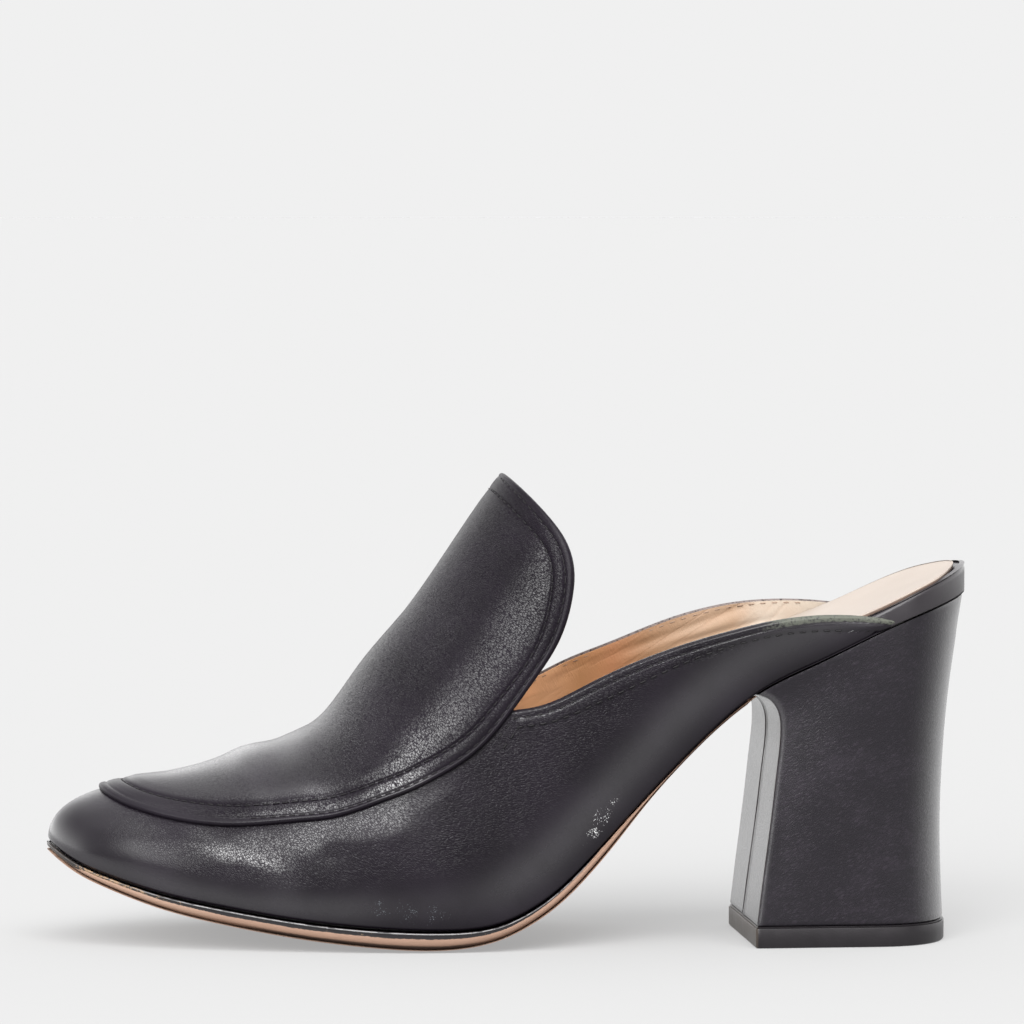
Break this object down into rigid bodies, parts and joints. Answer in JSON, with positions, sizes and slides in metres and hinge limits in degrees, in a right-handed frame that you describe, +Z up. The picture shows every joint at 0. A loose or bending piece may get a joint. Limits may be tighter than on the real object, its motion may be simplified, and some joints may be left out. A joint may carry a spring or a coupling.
{
  "type": "block-heel loafer mule",
  "caption": "Backless closed-toe mule in black leather with a raised loafer apron and tongue, low side wings, a thin leather sole and a high flared block heel. Left shoe.",
  "frame": {"origin": "on the heel cap's underside, midway between its sides and 23 mm behind its front edge", "axes": "+Z up from the floor, -X towards the toe, -Y towards the outer side of the foot"},
  "size_m": [0.2321, 0.0804, 0.118],
  "materials": {
    "upper_leather": "black fine-grained leather, semi-gloss",
    "seat_leather": "black leather wrapped round the board, semi-gloss",
    "sock_leather": "smooth nude leather, satin",
    "sole_leather": "smooth tan sole leather, edge inked black along its top",
    "heel_leather": "black leather over the heel block, semi-gloss",
    "cap_rubber": "matte black"
  },
  "bodies": {
    "root": {"upper": "upper_leather", "apron": "upper_leather", "insole_board": "seat_leather", "sock": "sock_leather", "outsole": "sole_leather", "heel_block": "heel_leather", "heel_cap": "cap_rubber"}
  },
  "joints": []
}
